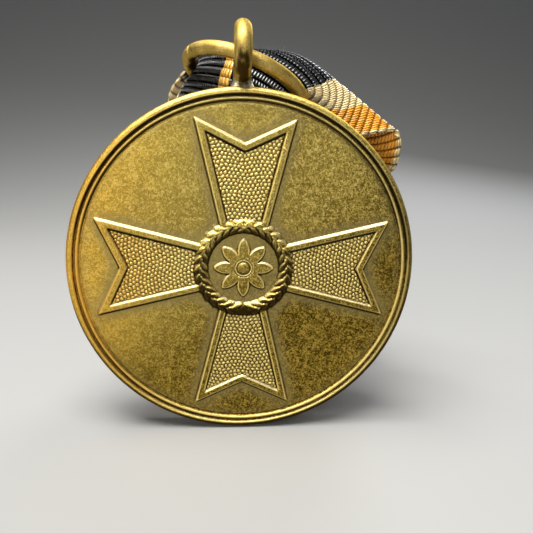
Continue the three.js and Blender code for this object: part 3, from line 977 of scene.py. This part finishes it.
def by_ring(right, back, above):
    """A point by its distances right, back and above the centre of the ring."""
    return RING_CENTRE + right * RING_RIGHT + back * RING_BACK + above * RING_NORMAL


# Crossings of the ribbon from its front end, up through the ring and down to its rear end. Each runs
# from the left selvedge, by the left edge of the dark stripe, the centre line, a place halfway over the
# right half of the dark stripe and its right edge, to the right selvedge, as in the CAD part.
CROSSINGS = np.array(
    [
        [
            at(-14.7, 2.7, 8.0), at(-7, 2.4, 8.0), at(0, 2.3, 8.0),
            at(3.5, 2.3, 8.0), at(7, 2.4, 8.0), at(14.7, 2.7, 8.0),
        ],
        [
            at(-14, 2.9, 17), at(-7, 2.4, 16.5), at(-0.5, 2.4, 16.5),
            at(3.0, 2.4, 16.5), at(6.5, 2.4, 16.5), at(13.6, 2.9, 17),
        ],
        [
            at(-10, 5.2, 25), at(-6.8, 3.2, 25), at(-1.2, 2.8, 25.5),
            at(2.3, 2.7, 25.4), at(5.4, 3.2, 25), at(9.4, 5.2, 24),
        ],
        [
            at(-5, 8, 30.4), at(-6.4, 4.4, 30.9), at(-2.1, 3.9, 31),
            at(1.8, 3.9, 30.5), at(5, 4.6, 29.4), at(4.6, 7.4, 28),
        ],
        [
            by_ring(-3.4, 4.2, -1.8), by_ring(-5.5, 0.6, -1.9), by_ring(-1.8, -1.6, -1.5),
            by_ring(2.2, -1.2, -1.6), by_ring(5.2, 0.6, -1.7), by_ring(3, 4, -1.8),
        ],
        [
            by_ring(-1.5, 4.3, 0), by_ring(-4.95, 0.7, -0.1), by_ring(-1.9, -1.7, 0),
            by_ring(1.6, -0.9, 0.2), by_ring(4.2, 1.3, 0), by_ring(1.8, 4.2, 0),
        ],
        [
            by_ring(-3.2, 5.2, 1.5), by_ring(-5.4, 1.9, 1.45), by_ring(-1.8, -0.8, 2.3),
            by_ring(2.4, -0.2, 2.9), by_ring(5.6, 1.2, 1.7), by_ring(5, 3.8, 1.6),
        ],
        [
            by_ring(-5.1, 5.8, -1.1), by_ring(-6.4, 2.9, 0.5), by_ring(-0.6, 0.9, 3.5),
            by_ring(3.4, 0.7, 4.4), by_ring(7.2, 1.7, 2.9), by_ring(11.4, 3.2, -0.2),
        ],
        [
            by_ring(-6.5, 6.8, -4.7), by_ring(-7.25, 4.2, -1.0), by_ring(0.2, 2.8, 4.3),
            by_ring(4.5, 2.6, 5.4), by_ring(8.7, 3.0, 4.6), by_ring(16.5, 3.5, 2.0),
        ],
        [
            by_ring(-6.8, 7.8, -5.4), by_ring(-6.75, 6.2, -1.0), by_ring(1.2, 6.4, 3.8),
            by_ring(5.2, 6.1, 4.5), by_ring(9.1, 5.7, 3.6), by_ring(18.0, 5.2, -0.6),
        ],
        [
            at(-9.3, 12.6, 24.2), at(-5.4, 13.6, 27.5), at(2, 14.2, 29),
            at(5.8, 14.0, 28.6), at(9.4, 13.4, 27.5), at(16.6, 12, 23),
        ],
        [
            at(-12.6, 11.9, 16.5), at(-5.2, 12.4, 16.5), at(2, 12.6, 16.5),
            at(5.6, 12.5, 16.5), at(9.2, 12.4, 16.5), at(16.5, 11.9, 16),
        ],
        [
            at(-13.2, 11.9, 6), at(-5.4, 12.3, 6), at(1.8, 12.5, 6),
            at(5.4, 12.4, 6), at(9, 12.3, 6), at(16.5, 11.9, 6),
        ],
    ]
)
HALF_WIDTH = 15.0
SELVEDGE = 14.4  # where the finer columns of the selvedge begin
CROSSING_PLACES = [-HALF_WIDTH, -7, 0, 3.5, 7, HALF_WIDTH]  # a crossing's points on the flat ribbon
THROAT = 5  # the crossing in the plane of the ring
ROWS_PER_RIB = 6
HALF_THICKNESS = 0.06  # in the valleys between ribs
RIB_HEIGHT = 0.16


def through_points(points, t):
    """Smooth curve through evenly numbered points along the first axis, at fractional numbers."""
    padded = np.concatenate([2 * points[:1] - points[1:2], points, 2 * points[-1:] - points[-2:-1]])
    i = np.minimum(np.floor(t).astype(int), len(points) - 2)
    f = (t - i).reshape(-1, *[1] * (points.ndim - 1))
    p0, p1, p2, p3 = (padded[i + k] for k in range(4))
    bend = (2 * p0 - 5 * p1 + 4 * p2 - p3) * f**2
    twist = (3 * p1 - p0 - 3 * p2 + p3) * f**3
    return 0.5 * (2 * p1 + (p2 - p0) * f + bend + twist)


def ribbon_surface():
    """The ribbon's middle surface: a row of points every sixth of a rib, a column for each place across.

    Every warp line is walked by its own length from the throat, so the ribs stay square to the threads.
    """
    edge = np.linspace(SELVEDGE, HALF_WIDTH, 5)[1:]
    across = np.concatenate([-edge[::-1], np.linspace(-SELVEDGE, SELVEDGE, 93), edge])
    columns = np.interp(across, CROSSING_PLACES, range(len(CROSSING_PLACES)))
    fine = np.linspace(0, len(CROSSINGS) - 1, 1201)
    warps = through_points(np.swapaxes(through_points(CROSSINGS, fine), 0, 1), columns)
    lengths = np.linalg.norm(np.diff(warps, axis=1), axis=2)
    walked = np.concatenate([np.zeros((len(columns), 1)), np.cumsum(lengths, axis=1)], 1)
    throat = walked[:, np.argmin(np.abs(fine - THROAT))]
    front, rear = throat, walked[:, -1] - throat
    front_ribs, rear_ribs = round(front.mean() / RIB_PITCH), round(rear.mean() / RIB_PITCH)
    rib = np.arange(-front_ribs * ROWS_PER_RIB, rear_ribs * ROWS_PER_RIB + 1) / ROWS_PER_RIB
    surface = np.empty((len(rib), len(across), 3))
    for k, warp in enumerate(warps):
        distance = np.where(rib < 0, rib / front_ribs * front[k], rib / rear_ribs * rear[k])
        for axis in range(3):
            surface[:, k, axis] = np.interp(distance + throat[k], walked[k], warp[:, axis])
    return surface, across, rib


def ribbon_piece(name, surface, normals, across, rib, first_rib, last_rib, material):
    """A closed length of the ribbon between two ribs, with its ribs and beaded selvedges as geometry."""
    rows = (rib >= first_rib - 1e-6) & (rib <= last_rib + 1e-6)
    middle, normal, rib = surface[rows], normals[rows], rib[rows]
    phase = rib - np.floor(rib + 1e-6)
    crown = np.sqrt(np.clip(1 - (2 * phase - 1) ** 2, 0, 1))
    selvedge = smoothstep(14.3, 14.65, np.abs(across))
    edge_round = np.sqrt(np.clip(1 - ((np.abs(across) - 14.6) / 0.42).clip(0) ** 2, 0.03, 1))
    relief = HALF_THICKNESS + RIB_HEIGHT * crown[:, None] * (1 + 0.9 * selvedge)
    relief = relief * edge_round
    offset = normal * relief[..., None]
    points = np.concatenate([(middle + offset).reshape(-1, 3), (middle - offset).reshape(-1, 3)])
    count_rows, count_columns = middle.shape[:2]
    half = count_rows * count_columns
    faces = grid_faces(count_rows, count_columns)
    faces += grid_faces(count_rows, count_columns, half, flip=True)
    for i in range(count_rows - 1):
        a, b = i * count_columns, (i + 1) * count_columns
        faces.append([a, b, b + half, a + half])
        a, b = a + count_columns - 1, b + count_columns - 1
        faces.append([b, a, a + half, b + half])
    for j in range(count_columns - 1):
        faces.append([j + 1, j, j + half, j + 1 + half])
        a = (count_rows - 1) * count_columns + j
        faces.append([a, a + 1, a + 1 + half, a + half])
    along = np.broadcast_to((rib * RIB_PITCH)[:, None], middle.shape[:2])
    cloth = np.stack([np.broadcast_to(across, along.shape), along, along / RIB_PITCH], -1).reshape(-1, 3)
    return mesh_object(name, points, faces, material, {"cloth": np.concatenate([cloth, cloth])})


def loose_fibres(surface, normals, rib, first_rib, last_rib, material):
    """Hair-fine curved fibres that stand up from the worn cloth, clear of the ring's wire."""
    count, stations, around = 1500, 5, 3
    rows = np.where((rib > first_rib) & (rib < last_rib))[0]
    points, faces = [], []
    for _ in range(count):
        row, column = random.choice(rows), random.integers(3, surface.shape[1] - 3)
        facing = random.choice((-1, 1))
        outward = normals[row, column] * facing
        drift = unit(random.normal(size=3))
        start = surface[row, column] + outward * HALF_THICKNESS
        length = random.uniform(0.3, 0.75)
        steps = np.linspace(0, 1, stations)[:, None]
        centres = start + length * (steps * outward + 0.8 * steps**2 * drift)
        if ring_gap(centres).min() < 0.08:
            continue
        side = unit(np.cross(outward, drift))
        hair, quads, _ = tube(
            centres,
            np.broadcast_to(side, centres.shape),
            np.broadcast_to(np.cross(side, outward), centres.shape),
            np.linspace(0.016, 0.006, stations),
            around,
            closed=False,
        )
        faces += [[len(points) * stations * around + i for i in quad] for quad in quads]
        points.append(hair)
    return mesh_object("ribbon_loose_fibres", np.concatenate(points), faces, material)


# ---------------------------------------------------------------- assembly

bronze = bronze_material()
wire = wire_material()
braze = braze_material()
cloth = ribbon_material()

disc_points, disc_faces, disc_attributes = struck_disc()
disc = mesh_object("struck_disc_relief", disc_points, disc_faces, bronze, disc_attributes)
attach(disc, "medal")
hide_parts("struck_disc")

loop = eyelet_loop(wire)
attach(loop, "medal")
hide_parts("eyelet_loop")

fillet = eyelet_braze(braze)
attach(fillet, "medal")
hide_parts("eyelet_braze")

ring = suspension_ring(wire)
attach(ring, "ring")
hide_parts("suspension_ring")

surface, across, rib = ribbon_surface()
steps_along = np.gradient(surface, axis=0)
steps_across = np.gradient(surface, axis=1)
normals = unit(np.cross(steps_across, steps_along))


def nearest_rib(height, part):
    """The rib of the centre line that is nearest a height, in the front or rear part of the ribbon."""
    centre = surface[:, len(across) // 2, 2]
    rows = np.where((rib < 0) == (part == "front"))[0]
    return round(rib[rows[np.argmin(np.abs(centre[rows] - height))]])


HINGE_REACH = 3.0  # how far the cloth's bend reaches to either side of a hinge
front_hinge = np.array(joint("front_tail_lift")["pos_m"]) / MM
rear_hinge = np.array(joint("rear_tail_lift")["pos_m"]) / MM
CUT_MARGIN = 2.5  # from the end of the bend up to the seam between two lengths
front_cut = nearest_rib(front_hinge[2] + HINGE_REACH + CUT_MARGIN, "front")
rear_cut = nearest_rib(rear_hinge[2] + HINGE_REACH + CUT_MARGIN, "rear")
parts = {
    "ribbon_front_fall": (rib[0], front_cut, "ribbon_front_tail", front_hinge, "front_tail"),
    "ribbon_through_ring": (front_cut, rear_cut, "ribbon_over_ring", None, None),
    "ribbon_rear_fall": (rear_cut, rib[-1], "ribbon_rear_tail", rear_hinge, "rear_tail"),
}
fibre_material = plain_material("loose_fibre", (0.22, 0.215, 0.21), 0.6)
fuzz = loose_fibres(surface, normals, rib, front_cut + 2, rear_cut - 2, fibre_material)
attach(fuzz, "ribbon")
for name, (start, end, node, hinge, tail) in parts.items():
    piece = ribbon_piece(name, surface, normals, across, rib, start, end, cloth)
    if hinge is None:
        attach(piece, "ribbon")
    else:
        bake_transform(piece)
    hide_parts(node)

# ---------------------------------------------------------------- floor, light and camera


def backdrop():
    """A pale floor that rises gently into a wall behind."""
    width, reach, wall, bend = 1600.0, 120.0, 1100.0, 600.0
    line = [(-900.0, 0.0), (reach, 0.0)]
    for a in np.linspace(0, math.pi / 2, 41)[1:]:
        line.append((reach + bend * math.sin(a), bend - bend * math.cos(a)))
    line.append((reach + bend, wall))
    points = [(side * width / 2, y, z - 0.02) for side in (-1, 1) for y, z in line]
    faces = grid_faces(2, len(line), flip=True)
    return mesh_object("floor", points, faces, plain_material("pale_floor", (0.34, 0.34, 0.335), 0.8))


backdrop()


def area_light(name, position, target, size, power, colour=(1, 1, 1)):
    data = bpy.data.lights.new(name, "AREA")
    data.shape = "RECTANGLE"
    data.size, data.size_y = size[0] * MM, size[1] * MM
    data.energy = power
    data.color = colour
    lamp = bpy.data.objects.new(name, data)
    bpy.context.scene.collection.objects.link(lamp)
    lamp.location = place(position)
    aim = Vector(target) - Vector(position)
    lamp.rotation_euler = aim.to_track_quat("-Z", "Y").to_euler()


area_light("overhead", (-50, -50, 240), (0, 0, 18), (200, 120), 1.25, (1.0, 0.98, 0.94))
area_light("front_fill", (-150, -240, 110), (0, 0, 20), (120, 120), 0.28, (1.0, 0.97, 0.93))
area_light("rear_edge", (120, 200, 160), (0, 0, 22), (120, 120), 0.32, (0.94, 0.97, 1.0))

world = bpy.data.worlds.new("studio")
world.use_nodes = True
world.node_tree.nodes["Background"].inputs["Color"].default_value = (0.85, 0.88, 0.92, 1)
world.node_tree.nodes["Background"].inputs["Strength"].default_value = 0.16
bpy.context.scene.world = world

camera_data = bpy.data.cameras.new("camera")
camera_data.sensor_width = 36.0
camera_data.lens = 36.0
camera_data.clip_start, camera_data.clip_end = 0.002, 10.0
camera = bpy.data.objects.new("camera", camera_data)
bpy.context.scene.collection.objects.link(camera)
forward = Vector((0.0847, 0.9722, -0.2181)).normalized()
up = Vector((-0.0065, 0.2195, 0.9756))
right = forward.cross(up).normalized()
up = right.cross(forward)
turn = Matrix((right, up, -forward)).transposed()
camera.matrix_world = Matrix.Translation(place((-2.083, -49.553, 27.331))) @ turn.to_4x4()
bpy.context.scene.camera = camera
bpy.context.scene.view_settings.view_transform = "Standard"
